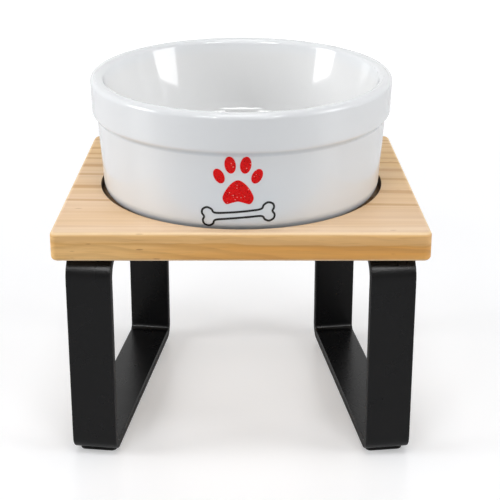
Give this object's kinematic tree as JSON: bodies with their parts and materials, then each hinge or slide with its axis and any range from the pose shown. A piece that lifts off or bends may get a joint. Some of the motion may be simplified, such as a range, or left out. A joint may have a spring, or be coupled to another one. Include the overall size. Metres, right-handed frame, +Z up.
{
  "type": "raised pet bowl",
  "caption": "Round white ceramic pet bowl with a collared rim, seated in a pale wooden board on flat-bar loop legs, raising food or water for a small dog or cat.",
  "frame": {"origin": "on the floor, under the middle of the board", "axes": "+Z up, -Y towards the animal (the pictured front), +X to the right seen from the front"},
  "size_m": [0.2016, 0.172, 0.201],
  "materials": {
    "white_glaze": "gloss glaze",
    "pine": "clear satin lacquer",
    "black_bar": "satin black powder coat",
    "black_screw": "black coated steel",
    "foot_rubber": "matte"
  },
  "bodies": {
    "stand": {"board": "pine", "left_leg": "black_bar", "right_leg": "black_bar", "left_leg_screws": "black_screw", "right_leg_screws": "black_screw", "front_left_foot_pad": "foot_rubber", "front_right_foot_pad": "foot_rubber", "back_left_foot_pad": "foot_rubber", "back_right_foot_pad": "foot_rubber"},
    "bowl": {"bowl": "white_glaze"}
  },
  "joints": [
    {"name": "bowl_lift", "type": "slide", "parent": "stand", "child": "bowl", "axis": [0, 0, 1], "range_m": [0, 0.09]}
  ]
}
